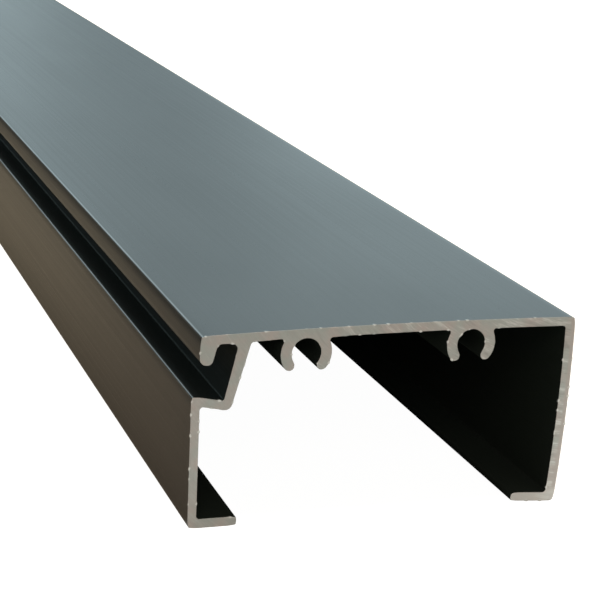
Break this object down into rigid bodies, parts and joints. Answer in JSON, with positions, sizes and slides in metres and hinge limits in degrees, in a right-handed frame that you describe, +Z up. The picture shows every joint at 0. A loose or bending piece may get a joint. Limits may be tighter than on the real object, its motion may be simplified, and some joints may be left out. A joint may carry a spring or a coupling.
{
  "type": "aluminium extrusion profile",
  "caption": "Length of dark anodised aluminium frame profile: open box section with a side groove, C-shaped screw ports, a foot and a lip, sawn square at the ends.",
  "frame": {"origin": "middle of the footprint, on the plane the foot stands on, half way along the bar", "axes": "+X across the section from the grooved wall to the plain wall, +Y along the bar away from the pictured end, +Z up out of the top plate"},
  "size_m": [0.0606, 1, 0.0304],
  "materials": {
    "anodised_aluminium": "satin dark bronze anodised faces, bare sawn ends"
  },
  "bodies": {
    "root": {"extruded_profile": "anodised_aluminium"}
  },
  "joints": []
}
